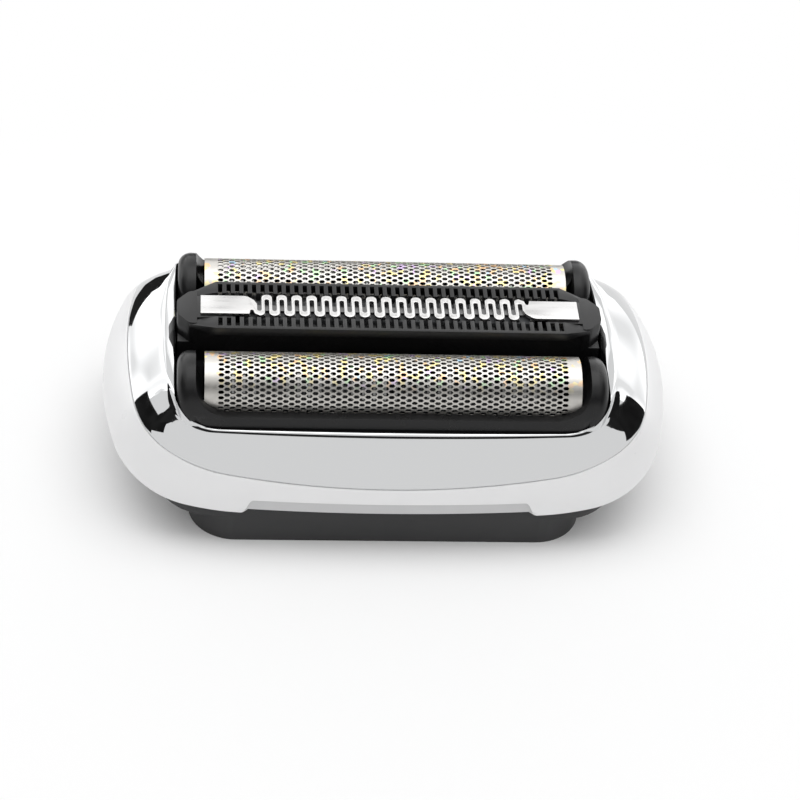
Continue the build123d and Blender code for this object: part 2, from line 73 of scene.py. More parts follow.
# Outer body: height above the ring's lower edge, then how far it stands outside the bezel's opening,
# along X and along Y
SKIN_LEVELS = [
    (0.0 * MM, 6.3 * MM, 3.75 * MM),
    (2.2 * MM, 7.1 * MM, 3.45 * MM),
    (5.4 * MM, 7.5 * MM, 2.3 * MM),
    (8.6 * MM, 6.6 * MM, 0.5 * MM),
    (11.0 * MM, 4.5 * MM, -1.0 * MM),
    (13.2 * MM, 0.8 * MM, -2.6 * MM),
]
# Its outline: bow of the ends, then bow of the sides and corner radius, each at the foot and at the top,
# and the heights between which the one turns into the other
SKIN_END_BOW = 3.0 * MM
SKIN_SIDE_BOWS = (1.6 * MM, 0.6 * MM)
SKIN_CORNER_RADII = (7.5 * MM, 4.8 * MM)
SQUARING_RISES = (3.8 * MM, 9.4 * MM)

# Opening of the bezel, and the inside of the white ring
OPENING_HALF_LENGTH = 22.5 * MM
OPENING_HALF_DEPTH = 12.67 * MM
OPENING_CORNER_RADIUS = 1.8 * MM
MOUTH_LIP = 0.14 * MM
HOOP_HALF_LENGTH = 25.78 * MM
HOOP_HALF_DEPTH = 13.95 * MM
HOOP_CORNER_BEVEL = 5.0 * MM

# Edges of the white ring: where its plain skin starts and ends, and how far each edge is rounded
RING_EDGE_HEIGHT = 0.45 * MM
RING_EDGE_RUN = 0.6 * MM
RING_SEAM_RUN = 0.5 * MM
RING_FOOT_ROUNDING = 0.2 * MM
RING_SEAM_ROUNDING = 0.16 * MM

# Grip notches: rounding of the step, how much deeper it is at its foot, the share of the height over
# which it comes in, and the margins by which its lip is told from the rest of the ring for its painted
# shade
NOTCH_FLOOR_ROUNDING = 0.04 * MM
NOTCH_LIP_ROUNDING = 0.07 * MM
NOTCH_DRAFT = 1.2
NOTCH_RAMP = 0.3
NOTCH_TOP_MARGIN = 0.02 * MM
NOTCH_WALL_MARGIN = 0.3 * MM

# Edges of the bezel
BEZEL_SEAM_RUN = 0.3 * MM
BEZEL_SEAM_ROUNDING = 0.1 * MM
MOUTH_ROUNDING = 0.5 * MM

# Ears of the foil frames
EAR_START = 20.49 * MM
EAR_END = 22.2 * MM
EAR_RADIUS = 4.15 * MM
EAR_LEG = 3.5 * MM
EAR_ROUNDING = 1.35 * MM
EAR_COVER = 0.015 * MM
EAR_STEPS = 48

# Borders of a foil: how near to the outer edge of the cells a corner is drawn out, in cells and in rows
END_BORDER = 0.75
LEG_BORDER = 0.55

# Edge of the trimmer's strip beside its waves: shares of the pitch along it and of its half width across it
STRIP_SHOULDER = [(-1.0, 1.0), (-0.75, 0.92), (-0.35, 0.55)]
STRIP_NOTCH = [(-0.18, 0.95), (-0.1, 0.62), (0.0, 0.52), (0.1, 0.62), (0.16, 1.0)]
# Where the first slot starts across the strip, how full a bend is, and the steps of a quarter bend
FIRST_SLOT_START = 0.1
BEND_FULLNESS = 0.96
ARC_STEPS = 8

# Springs and cutters
SPRING_WIRE = 0.17 * MM
SPRING_TURNS = 6
SPRING_TURN_STEPS = 28
SPRING_WIRE_SIDES = 10
BLADE_PITCH = 1.11 * MM

# Columns of the shell's mesh along the stretches of one quarter of its outline
STRETCHES = {"side": 90, "corner": 44, "end": 36}
COLUMNS = sum(STRETCHES.values())

# Rounding of a path: the largest share of a side that it takes, and the shortest side
MOST_CUT = 0.46
SHORTEST_SIDE = 1e-9

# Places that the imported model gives
RING_LOW, RING_HIGH = (Vector(corner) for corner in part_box("base_ring"))
FOIL_LOW, FOIL_HIGH = (Vector(corner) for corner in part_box("front_foil"))
FRAME_LOW, FRAME_HIGH = (Vector(corner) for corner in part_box("front_foil_frame"))
STRIP_LOW, STRIP_HIGH = (Vector(corner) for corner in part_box("trimmer_strip"))
FOOT_Z = RING_LOW.z
WIDEST = RING_HIGH.x
FOIL_RADIUS = (FOIL_HIGH.y - FOIL_LOW.y) / 2
FOIL_OFFSET = -(FOIL_HIGH.y + FOIL_LOW.y) / 2
ARCH_Z = FOIL_HIGH.z - FOIL_RADIUS


# Shapes of the outer body

def skin_over(z):
    """How far the skin stands outside the opening at a height, along X and along Y."""
    rise = min(max(z - FOOT_Z, SKIN_LEVELS[0][0]), SKIN_LEVELS[-1][0])
    index = 0
    while index < len(SKIN_LEVELS) - 2 and rise > SKIN_LEVELS[index + 1][0]:
        index += 1
    low = SKIN_LEVELS[index]
    high = SKIN_LEVELS[index + 1]
    before = SKIN_LEVELS[max(index - 1, 0)]
    after = SKIN_LEVELS[min(index + 2, len(SKIN_LEVELS) - 1)]
    span = high[0] - low[0]
    t = (rise - low[0]) / span
    values = []
    for axis in (1, 2):
        slope_low = (high[axis] - before[axis]) / (high[0] - before[0]) * span
        slope_high = (after[axis] - low[axis]) / (after[0] - low[0]) * span
        value = (
            (2 * t**3 - 3 * t**2 + 1) * low[axis]
            + (t**3 - 2 * t**2 + t) * slope_low
            + (3 * t**2 - 2 * t**3) * high[axis]
            + (t**3 - t**2) * slope_high
        )
        values.append(min(value, max(level[axis] for level in SKIN_LEVELS)))
    return values


def soft_share(value, low, high):
    """How far a value has come from one limit to the other, with a soft start and end."""
    share = min(max((value - low) / (high - low), 0), 1)
    return share * share * (3 - 2 * share)


def stretch_of(column):
    """The stretch of a quarter that a column lies on, and how far along it the column is."""
    for name, count in STRETCHES.items():
        if column < count:
            return name, column / count
        column -= count
    return "end", 1


def quarter_point(column, length, depth, side_bow, corner_radius):
    """A point on one quarter of an outline of two bowed sides and a round corner."""
    corner_x = length - SKIN_END_BOW
    corner_y = depth - side_bow
    side_radius = (corner_x**2 + side_bow**2) / (2 * side_bow)
    end_radius = (corner_y**2 + SKIN_END_BOW**2) / (2 * SKIN_END_BOW)
    side_y = depth - side_radius
    end_x = length - end_radius
    reach_side = side_radius - corner_radius
    reach_end = end_radius - corner_radius
    apart = sqrt(end_x**2 + side_y**2)
    along = (apart**2 + reach_side**2 - reach_end**2) / (2 * apart)
    aside = sqrt(max(reach_side**2 - along**2, 0))
    unit_x = end_x / apart
    unit_y = -side_y / apart
    centre_x = along * unit_x + aside * unit_y
    centre_y = side_y + along * unit_y - aside * unit_x
    side_angle = atan2(centre_x, centre_y - side_y)
    end_angle = atan2(centre_y, centre_x - end_x)
    stretch, share = stretch_of(column)
    if stretch == "side":
        angle = side_angle * share
        return side_radius * sin(angle), side_y + side_radius * cos(angle)
    if stretch == "corner":
        angle = side_angle + (pi / 2 - end_angle - side_angle) * share
        return centre_x + corner_radius * sin(angle), centre_y + corner_radius * cos(angle)
    angle = end_angle * (1 - share)
    return end_x + end_radius * cos(angle), end_radius * sin(angle)


def skin_point(column, z, inset=0):
    """A point on the outer body at a height, drawn in by an inset; the body gets squarer higher up."""
    over_length, over_depth = skin_over(z)
    squaring = soft_share(z - FOOT_Z, *SQUARING_RISES)
    x, y = quarter_point(
        column,
        OPENING_HALF_LENGTH + over_length - inset,
        OPENING_HALF_DEPTH + over_depth - inset,
        SKIN_SIDE_BOWS[0] + (SKIN_SIDE_BOWS[1] - SKIN_SIDE_BOWS[0]) * squaring,
        SKIN_CORNER_RADII[0] + (SKIN_CORNER_RADII[1] - SKIN_CORNER_RADII[0]) * squaring - inset,
    )
    return Vector((x, y, z))


def opening_point(column):
    """The place on the bezel's opening that faces a column of the skin."""
    straight_x = OPENING_HALF_LENGTH - OPENING_CORNER_RADIUS
    straight_y = OPENING_HALF_DEPTH - OPENING_CORNER_RADIUS
    radius = OPENING_CORNER_RADIUS - MOUTH_LIP
    stretch, share = stretch_of(column)
    if stretch == "side":
        return straight_x * share, straight_y + radius
    if stretch == "corner":
        angle = pi / 2 * share
        return straight_x + radius * sin(angle), straight_y + radius * cos(angle)
    return straight_x + radius, straight_y * (1 - share)


def hoop_point(column):
    """The place on the inside of the white ring that faces a column of the skin."""
    straight_x = HOOP_HALF_LENGTH - HOOP_CORNER_BEVEL
    straight_y = HOOP_HALF_DEPTH - HOOP_CORNER_BEVEL
    stretch, share = stretch_of(column)
    if stretch == "side":
        return straight_x * share, HOOP_HALF_DEPTH
    if stretch == "corner":
        return straight_x + HOOP_CORNER_BEVEL * share, HOOP_HALF_DEPTH - HOOP_CORNER_BEVEL * share
    return HOOP_HALF_LENGTH, straight_y * (1 - share)


class Saddle:
    """A curve along X that is nearly level in the middle and sweeps up to the ends."""

    SEARCH_MARGIN = 2 * MM
    HALVINGS = 40

    def __init__(self, middle, crown, half_flat, end_inset, end):
        self.low = FOOT_Z + middle
        self.crown = crown
        self.half_flat = half_flat
        slope = 2 * crown / half_flat
        start = Vector((half_flat, self.low + crown))
        self.end = Vector((WIDEST - end_inset, FOOT_Z + end))
        across = self.end - start
        normal = Vector((-slope, 1)).normalized()
        self.radius = across.length_squared / (2 * across.dot(normal))
        self.centre = start + normal * self.radius
        self.end_slope = (self.end.x - self.centre.x) / (self.centre.y - self.end.y)

    def height(self, x):
        """The height of the curve at a distance from the middle."""
        if x <= self.half_flat:
            return self.low + self.crown * (x / self.half_flat) ** 2
        if x <= self.end.x:
            return self.centre.y - sqrt(self.radius**2 - (x - self.centre.x) ** 2)
        return self.end.y + self.end_slope * (x - self.end.x)

    def height_on_skin(self, column):
        """The height at which a column of the skin meets the curve."""
        low = FOOT_Z - self.SEARCH_MARGIN
        high = FOOT_Z + SKIN_LEVELS[-1][0]
        for _ in range(self.HALVINGS):
            middle = (low + high) / 2
            if middle < self.height(skin_point(column, middle).x):
                low = middle
            else:
                high = middle
        return (low + high) / 2


FOOT = Saddle(middle=0, crown=0, half_flat=15.6 * MM, end_inset=0, end=4.0 * MM)
SEAM = Saddle(middle=3.4 * MM, crown=1.0 * MM, half_flat=17.0 * MM, end_inset=2.5 * MM, end=10.8 * MM)
RIM = Saddle(middle=8.7 * MM, crown=0, half_flat=18.5 * MM, end_inset=6.5 * MM, end=12.4 * MM)


def rounded(path, cuts, steps):
    """A path with its corners rounded, each by its own cut and in the same number of steps."""
    points = [path[0]]
    for before, corner, after, cut in zip(path, path[1:], path[2:], cuts):
        to_before = before - corner
        to_after = after - corner
        start = corner + to_before * min(cut / max(to_before.length, SHORTEST_SIDE), MOST_CUT)
        end = corner + to_after * min(cut / max(to_after.length, SHORTEST_SIDE), MOST_CUT)
        for step in range(steps + 1):
            t = step / steps
            points.append(start * (1 - t) ** 2 + corner * 2 * t * (1 - t) + end * t**2)
    points.append(path[-1])
    return points


def arc(x, y, radius, start, end, steps):
    """Points on a circle round a place, from one angle to another."""
    angles = [start + (end - start) * step / steps for step in range(steps + 1)]
    return [Vector((x + radius * cos(angle), y + radius * sin(angle))) for angle in angles]


# Blender helpers

def deselect_all():
    """Leaves nothing selected, in object mode."""
    if bpy.context.mode != "OBJECT":
        bpy.ops.object.mode_set(mode="OBJECT")
    bpy.ops.object.select_all(action="DESELECT")


def only(piece):
    """Makes a piece the one that is selected and active."""
    deselect_all()
    piece.select_set(True)
    bpy.context.view_layer.objects.active = piece


def name_piece(name):
    """Names the primitive that was just added."""
    piece = bpy.context.object
    piece.name = name
    piece.data.name = name
    return piece


def apply_modifier(piece, kind, **settings):
    """Adds a modifier with its settings and applies it."""
    only(piece)
    modifier = piece.modifiers.new(kind.title(), kind)
    for key, value in settings.items():
        setattr(modifier, key, value)
    bpy.ops.object.modifier_apply(modifier=modifier.name)


def place_points(piece, points):
    """Puts each corner of a piece's mesh at its own place."""
    flat = [value for point in points for value in point]
    piece.data.vertices.foreach_set("co", flat)
    piece.data.update()


@contextmanager
def editing(piece):
    """Edit mode on one piece, with all of its mesh selected."""
    only(piece)
    bpy.ops.object.mode_set(mode="EDIT")
    bpy.ops.mesh.select_all(action="SELECT")
    yield
    bpy.ops.object.mode_set(mode="OBJECT")


def face_outwards(piece):
    """Merges doubled corners and turns every face outwards."""
    with editing(piece):
        bpy.ops.mesh.remove_doubles(threshold=0.00001 * MM)
        bpy.ops.mesh.normals_make_consistent(inside=False)


def flat_face(name, points):
    """A piece of one flat face, with its corners at the given places."""
    deselect_all()
    bpy.ops.mesh.primitive_circle_add(vertices=len(points), fill_type="NGON")
    piece = name_piece(name)
    place_points(piece, points)
    face_outwards(piece)
    return piece


def repeat(piece, count, offset):
    """Repeats a piece at even offsets."""
    apply_modifier(
        piece,
        "ARRAY",
        count=count,
        use_relative_offset=False,
        use_constant_offset=True,
        constant_offset_displace=offset,
    )


def smooth(piece, degrees):
    """Shades a piece smooth, apart from edges sharper than an angle."""
    only(piece)
    bpy.ops.object.shade_smooth_by_angle(angle=radians(degrees))


def dress(piece, *materials):
    """Gives a piece its materials, in place of any that it has."""
    piece.data.materials.clear()
    for material in materials:
        piece.data.materials.append(material)


def stand_for(piece, node):
    """Shows a piece in place of a node, on that node's body."""
    bodies = frame["record"]["behaviour"]["bodies"]
    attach(piece, next(body for body, names in bodies.items() if node in names))
    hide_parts(node)


def rounded_copy(node, name, bevel, segments):
    """A merged copy of a node with its edges rounded."""
    piece = bpy.data.objects.new(name, frame["nodes"][node].data.copy())
    piece.data.name = name
    bpy.context.collection.objects.link(piece)
    with editing(piece):
        bpy.ops.mesh.remove_doubles(threshold=0.001 * MM)
        bpy.ops.mesh.dissolve_limited(angle_limit=radians(0.6))
        bpy.ops.mesh.vert_connect_concave()
        bpy.ops.mesh.normals_make_consistent(inside=False)
    apply_modifier(
        piece,
        "BEVEL",
        width=bevel,
        segments=segments,
        limit_method="ANGLE",
        angle_limit=radians(32),
        miter_outer="MITER_ARC",
        use_clamp_overlap=True,
    )
    smooth(piece, degrees=34)
    return piece


# Materials

def new_material(name, colour, metallic, roughness):
    """A material with its one shader, and that shader."""
    material = bpy.data.materials.new(name)
    material.use_nodes = True
    shader = material.node_tree.nodes["Principled BSDF"]
    shader.inputs["Base Color"].default_value = (*colour, 1)
    shader.inputs["Metallic"].default_value = metallic
    shader.inputs["Roughness"].default_value = roughness
    return material, shader


def add_node(tree, kind, inputs, **options):
    """A node with its options set, and with each input linked to a socket or given a value."""
    node = tree.nodes.new(kind)
    for key, value in options.items():
        setattr(node, key, value)
    for key, value in inputs.items():
        if isinstance(value, bpy.types.NodeSocket):
            tree.links.new(value, node.inputs[key])
        else:
            node.inputs[key].default_value = value
    return node


def object_noise(material, scale, detail, stretch=(1, 1, 1)):
    """Noise over a piece's own place, drawn out along an axis where the stretch is under one."""
    tree = material.node_tree
    place = add_node(tree, "ShaderNodeTexCoord", {})
    mapping = add_node(tree, "ShaderNodeMapping", {"Vector": place.outputs["Object"], "Scale": stretch})
    inputs = {"Vector": mapping.outputs["Vector"], "Scale": scale, "Detail": detail}
    return add_node(tree, "ShaderNodeTexNoise", inputs)


def add_bump(material, shader, noise, strength, distance):
    """Raises the surface by a noise."""
    inputs = {"Height": noise.outputs["Fac"], "Strength": strength, "Distance": distance}
    bump = add_node(material.node_tree, "ShaderNodeBump", inputs)
    material.node_tree.links.new(bump.outputs["Normal"], shader.inputs["Normal"])


# Most of a noise lies between these two values
NOISE_LOW = 0.3
NOISE_HIGH = 0.7


def vary(material, shader, value, noise, low, high):
    """Drives one value of a shader by a noise, between two limits."""
    inputs = {
        "Value": noise.outputs["Fac"],
        "From Min": NOISE_LOW,
        "From Max": NOISE_HIGH,
        "To Min": low,
        "To Max": high,
    }
    limits = add_node(material.node_tree, "ShaderNodeMapRange", inputs)
    material.node_tree.links.new(limits.outputs["Result"], shader.inputs[value])


def vary_colour(material, shader, noise, colour, low, high):
    """Drives a shader's colour by a noise, between two shares of its brightness."""
    darker = (*(min(value * low, 1) for value in colour), 1)
    lighter = (*(min(value * high, 1) for value in colour), 1)
    inputs = {"Factor": noise.outputs["Fac"], "A": darker, "B": lighter}
    mix = add_node(material.node_tree, "ShaderNodeMix", inputs, data_type="RGBA")
    material.node_tree.links.new(mix.outputs["Result"], shader.inputs["Base Color"])


def moulded_plastic(name, colour, roughness, gloss=0.5):
    """Moulded plastic: a fine grain, and a gloss that wanders a little."""
    material, shader = new_material(name, colour, 0, roughness)
    shader.inputs["Specular IOR Level"].default_value = gloss
    grain = object_noise(material, scale=5200, detail=3)
    cloud = object_noise(material, scale=260, detail=4)
    add_bump(material, shader, grain, strength=0.12, distance=0.02 * MM)
    vary(material, shader, "Roughness", cloud, low=roughness - 0.05, high=roughness + 0.06)
    vary_colour(material, shader, cloud, colour, low=0.98, high=1.02)
    return material


def chrome_plating(settings):
    """Bright plating with a faint haze and ripple."""
    roughness = settings.chrome_roughness
    material, shader = new_material("chrome_plating", settings.chrome_colour, 1, roughness)
    haze = object_noise(material, scale=420, detail=5)
    ripple = object_noise(material, scale=170, detail=2)
    add_bump(material, shader, ripple, strength=0.05, distance=0.05 * MM)
    vary(material, shader, "Roughness", haze, low=0.02, high=roughness)
    return material


def brushed_steel(name, colour, roughness, stretch=(1, 1, 1)):
    """Ground steel with fine lines along the axis where the stretch is smallest."""
    material, shader = new_material(name, colour, 1, roughness)
    lines = object_noise(material, scale=2600, detail=4, stretch=stretch)
    add_bump(material, shader, lines, strength=0.12, distance=0.01 * MM)
    vary(material, shader, "Roughness", lines, low=roughness - 0.08, high=roughness + 0.1)
    vary_colour(material, shader, lines, colour, low=0.86, high=1.05)
    return material


# Glints painted into the foils' colour along the crown: the cells' value from which each colour is used,
# and the colour
GLINTS = [
    (0.66, (0.95, 0.8, 0.3)),
    (0.74, (0.95, 0.6, 0.3)),
    (0.8, (0.5, 0.85, 0.45)),
    (0.86, (0.7, 0.5, 0.85)),
    (0.92, (0.45, 0.7, 0.9)),
]
# Cells to a metre, and the depths under the crown at which the glints start and are full
GLINT_CELLS = 1900
GLINT_START = 1.6 * MM
GLINT_FULL = 0.3 * MM


def foil_nickel(settings):
    """Bright nickel sheet with small coloured glints painted into its colour along the crown."""
    material, shader = new_material("foil_nickel", settings.colour, metallic=1, roughness=0.4)
    tree = material.node_tree
    plain = (*settings.colour, 1)
    place = add_node(tree, "ShaderNodeTexCoord", {}).outputs["Object"]
    cells = add_node(tree, "ShaderNodeTexVoronoi", {"Vector": place, "Scale": GLINT_CELLS})
    tint = add_node(tree, "ShaderNodeValToRGB", {"Fac": cells.outputs["Color"]})
    ramp = tint.color_ramp
    ramp.interpolation = "CONSTANT"
    ramp.elements[0].color = plain
    ramp.elements[1].position = GLINTS[0][0]
    ramp.elements[1].color = (*GLINTS[0][1], 1)
    for position, colour in GLINTS[1:]:
        ramp.elements.new(position).color = (*colour, 1)
    inputs = {
        "Value": add_node(tree, "ShaderNodeSeparateXYZ", {"Vector": place}).outputs["Z"],
        "From Min": FOIL_HIGH.z - GLINT_START,
        "From Max": FOIL_HIGH.z - GLINT_FULL,
        "To Max": settings.glint,
    }
    band = add_node(tree, "ShaderNodeMapRange", inputs)
    inputs = {"Factor": band.outputs["Result"], "A": plain, "B": tint.outputs["Color"]}
    mix = add_node(tree, "ShaderNodeMix", inputs, data_type="RGBA")
    tree.links.new(mix.outputs["Result"], shader.inputs["Base Color"])
    grain = object_noise(material, scale=2400, detail=3)
    add_bump(material, shader, grain, strength=0.1, distance=0.01 * MM)
    vary(material, shader, "Roughness", grain, low=0.34, high=0.48)
    return material


# Settings

class ShellSettings(bpy.types.PropertyGroup):
    """Sizes and colours of the white ring and the chromed bezel."""

    ring_colour: FloatVectorProperty(
        name="Ring colour", description="Colour of the white plastic", subtype="COLOR",
        default=(0.84, 0.84, 0.845), min=0, max=1,
    )
    # Painted shade: a greyer white for the lip inside the grip notch, standing in for the shade of the
    # recess
    notch_shade_colour: FloatVectorProperty(
        name="Notch shade colour", description="Painted shade on the lip inside the grip notch", subtype="COLOR",
        default=(0.6, 0.6, 0.605), min=0, max=1,
    )
    chrome_colour: FloatVectorProperty(
        name="Chrome colour", description="Colour of the plating", subtype="COLOR",
        default=(0.62, 0.625, 0.63), min=0, max=1,
    )
    chrome_roughness: FloatProperty(
        name="Chrome roughness", description="Haze of the plating", subtype="FACTOR",
        default=0.05, min=0, max=1,
    )
    seam_gap: FloatProperty(
        name="Seam gap", description="Gap between the ring and the bezel", unit="LENGTH", default=0.08 * MM,
    )
    rim_roll: FloatProperty(
        name="Rim roll", description="How far the bezel's rim is rounded", unit="LENGTH", default=0.8 * MM,
    )
    rim_drop: FloatProperty(
        name="Rim drop", description="How far the rim falls towards the opening", unit="LENGTH",
        default=0.4 * MM,
    )
    notch_half_length: FloatProperty(
        name="Notch half length", description="Half the length of the grip notch", unit="LENGTH",
        default=15.4 * MM,
    )
    notch_height: FloatProperty(
        name="Notch height", description="Height of the grip notch", unit="LENGTH", default=1.7 * MM,
    )
    notch_depth: FloatProperty(
        name="Notch depth", description="Depth of the grip notch's step", unit="LENGTH", default=0.5 * MM,
    )


class FoilSettings(bpy.types.PropertyGroup):
    """Sizes and colours of the perforated foils."""

    colour: FloatVectorProperty(
        name="Foil colour", description="Colour of the nickel sheet", subtype="COLOR",
        default=(0.56, 0.545, 0.515), min=0, max=1,
    )
    # Painted glints: how strongly the coloured specks are mixed into the nickel's colour at the crown
    glint: FloatProperty(
        name="Glint", description="How coloured the crown's glints are", subtype="FACTOR",
        default=0.75, min=0, max=1,
    )
    cell_side: FloatProperty(
        name="Cell side", description="Half the length of one six-sided cell", unit="LENGTH",
        default=0.4 * MM,
    )
    row_pitch: FloatProperty(
        name="Row pitch", description="Height of one six-sided cell", unit="LENGTH", default=0.6 * MM,
    )
    web: FloatProperty(
        name="Web", description="Half the width of the metal between two holes", unit="LENGTH",
        default=0.095 * MM,
    )
    hole_stretch: FloatProperty(
        name="Hole stretch", description="How far the holes are stretched along the foil", default=1.15,
    )
    column_pairs: IntProperty(name="Column pairs", description="Pairs of columns of holes", default=30)
    rows: IntProperty(name="Rows", description="Rows of holes over the arch", default=21)
    sheet: FloatProperty(
        name="Sheet", description="Thickness of the sheet", unit="LENGTH", default=0.12 * MM,
    )


class TrimmerSettings(bpy.types.PropertyGroup):
    """Sizes of the trimmer's strip."""

    pitch: FloatProperty(
        name="Wave pitch", description="Length of one wave of the strip", unit="LENGTH", default=1.57 * MM,
    )
    waves: IntProperty(name="Waves", description="Number of waves", default=18)
    slot: FloatProperty(
        name="Wave slot", description="Width of the slot inside a wave", unit="LENGTH", default=0.46 * MM,
    )
    web: FloatProperty(
        name="Wave web", description="Thickness of a bend", unit="LENGTH", default=0.78 * MM,
    )
    proud: FloatProperty(
        name="Wave reach", description="How far a bend stands outside the flat ends", unit="LENGTH",
        default=0.26 * MM,
    )


class PlasticSettings(bpy.types.PropertyGroup):
    """Colours of the black and grey plastics."""

    black: FloatVectorProperty(
        name="Black", description="Colour of the black plastic", subtype="COLOR",
        default=(0.008, 0.008, 0.0085), min=0, max=1,
    )
    collar: FloatVectorProperty(
        name="Collar", description="Colour of the cassette frame and its collar", subtype="COLOR",
        default=(0.033, 0.033, 0.034), min=0, max=1,
    )
    grey: FloatVectorProperty(
        name="Grey", description="Colour of the inner plastic", subtype="COLOR",
        default=(0.06, 0.062, 0.065), min=0, max=1,
    )


class StageSettings(bpy.types.PropertyGroup):
    """Light and camera."""

    sky: FloatProperty(name="Sky", description="Strength of the soft light from all round", default=0.68)
    key: FloatProperty(
        name="Key", description="Power of the large lamp above", unit="POWER", default=1.3,
    )
    camera_place: FloatVectorProperty(
        name="Camera place", description="Where the camera stands", subtype="TRANSLATION",
        default=(-22.77 * MM, -204.29 * MM, 182.25 * MM),
    )
    camera_turn: FloatVectorProperty(
        name="Camera turn", description="How the camera is turned", subtype="EULER",
        default=(radians(49.38), radians(-4.05), radians(-3.42)),
    )
    lens: FloatProperty(
        name="Lens", description="Focal length in millimetres", unit="CAMERA", default=112.55,
    )


class HeadSettings(bpy.types.PropertyGroup):
    """All the settings of the head."""

    shell: PointerProperty(type=ShellSettings, name="Shell", description="Ring and bezel")
    foil: PointerProperty(type=FoilSettings, name="Foil", description="Perforated foils")
    trimmer: PointerProperty(type=TrimmerSettings, name="Trimmer", description="Strip of the trimmer")
    plastic: PointerProperty(type=PlasticSettings, name="Plastic", description="Black and grey plastics")
    stage: PointerProperty(type=StageSettings, name="Stage", description="Light and camera")


# Shell

def ring_of(name, profile, settings):
    """A closed ring from the profiles of one quarter's columns, mirrored to the other three."""
    quarter = [profile(settings, column) for column in range(COLUMNS + 1)]
    loop = [[(p.x, p.y, p.z) for p in points] for points in quarter]
    loop += [[(p.x, -p.y, p.z) for p in points] for points in quarter[COLUMNS - 1 :: -1]]
    loop += [[(-p.x, -p.y, p.z) for p in points] for points in quarter[1:]]
    loop += [[(-p.x, p.y, p.z) for p in points] for points in quarter[COLUMNS - 1 : 0 : -1]]
    round_count = len(loop)
    along_count = len(loop[0])
    deselect_all()
    bpy.ops.mesh.primitive_grid_add(x_subdivisions=along_count, y_subdivisions=round_count, size=1)
    piece = name_piece(name)
    places = []
    for vert in piece.data.vertices:
        column = round((vert.co.y + 0.5) * round_count) % round_count
        step = round((vert.co.x + 0.5) * along_count) % along_count
        places.append(loop[column][step])
    place_points(piece, places)
    face_outwards(piece)
    return piece


def skin_run(column, low, high, count):
    """Places on the skin of one column, from one height to another, without the ends."""
    return [skin_point(column, low + (high - low) * step / (count + 1)) for step in range(1, count + 1)]


def notch_rise(settings, x):
    """Height of the grip notch at a distance from the middle, with soft ends."""
    return settings.notch_height * soft_share(settings.notch_half_length - x, 0, settings.notch_height)


def ring_profile(settings, column):
    """The white ring's profile at a column: from its inner foot, out over the skin, to its inner seam."""
    foot = FOOT.height_on_skin(column)
    seam = SEAM.height_on_skin(column) - settings.seam_gap
    rise = notch_rise(settings, skin_point(column, foot).x)
    step = settings.notch_depth * min(rise / (NOTCH_RAMP * settings.notch_height), 1)
    ledge = foot + max(rise, RING_EDGE_HEIGHT)
    low_run = ledge + RING_EDGE_RUN
    high_run = seam - RING_SEAM_RUN
    inner_x, inner_y = hoop_point(column)
    inner_foot = Vector((inner_x, inner_y, FOOT.height(inner_x)))
    inner_seam = Vector((inner_x, inner_y, SEAM.height(inner_x) - settings.seam_gap))
    lower = rounded(
        [
            inner_foot,
            skin_point(column, foot, NOTCH_DRAFT * step),
            skin_point(column, ledge, step),
            skin_point(column, ledge),
            skin_point(column, low_run),
        ],
        [RING_FOOT_ROUNDING, NOTCH_FLOOR_ROUNDING, NOTCH_LIP_ROUNDING],
        steps=6,
    )
    upper = rounded(
        [skin_point(column, high_run), skin_point(column, seam), inner_seam],
        [RING_SEAM_ROUNDING],
        steps=4,
    )
    return lower + skin_run(column, low_run, high_run, count=10) + upper


def bezel_profile(settings, column):
    """The bezel's profile at a column: from inside its seam, up the skin, over the rim to the opening."""
    seam = SEAM.height_on_skin(column)
    rim = RIM.height_on_skin(column)
    mouth_x, mouth_y = opening_point(column)
    mouth = Vector((mouth_x, mouth_y, max(RIM.height(mouth_x), rim - settings.rim_drop)))
    below = Vector((mouth_x, mouth_y, SEAM.height(mouth_x)))
    low_run = seam + BEZEL_SEAM_RUN
    high_run = max(rim - settings.rim_roll, (rim + low_run) / 2)
    lower = rounded(
        [below, skin_point(column, seam), skin_point(column, low_run)],
        [BEZEL_SEAM_ROUNDING],
        steps=3,
    )
    upper = rounded(
        [skin_point(column, high_run), skin_point(column, rim), mouth, below],
        [settings.rim_roll, MOUTH_ROUNDING],
        steps=8,
    )
    return lower + skin_run(column, low_run, high_run, count=12) + upper[:-1]


class SHAVER_OT_white_ring(bpy.types.Operator):
    """Models the white ring, with its grip notches at the front and back and painted shade on their lips"""

    bl_idname = "shaver.white_ring"
    bl_label = "White Ring"

    def execute(self, context):
        settings = context.scene.foil_head.shell
        piece = ring_of("white_ring", ring_profile, settings)
        smooth(piece, degrees=40)
        white = moulded_plastic("white_plastic", settings.ring_colour, roughness=0.32)
        # Painted shade: a greyer copy of the white plastic, for the lips inside the grip notches
        painted_notch_shade = moulded_plastic("notch_painted_shade", settings.notch_shade_colour, roughness=0.4)
        dress(piece, white, painted_notch_shade)
        stand_for(piece, "base_ring")
        # Painted shade: the faces of the lips inside the grip notches take the greyer material
        for face in piece.data.polygons:
            lip_z = FOOT_Z + notch_rise(settings, abs(face.center.x)) - NOTCH_TOP_MARGIN
            if face.center.z < lip_z and abs(face.center.y) > HOOP_HALF_DEPTH + NOTCH_WALL_MARGIN:
                face.material_index = 1
        return {"FINISHED"}


class SHAVER_OT_chrome_bezel(bpy.types.Operator):
    """Models the chromed bezel, with its rolled rim round the opening"""

    bl_idname = "shaver.chrome_bezel"
    bl_label = "Chrome Bezel"

    def execute(self, context):
        settings = context.scene.foil_head.shell
        piece = ring_of("chrome_bezel_shell", bezel_profile, settings)
        smooth(piece, degrees=50)
        dress(piece, chrome_plating(settings))
        stand_for(piece, "chrome_bezel")
        return {"FINISHED"}


# Foils and their frames

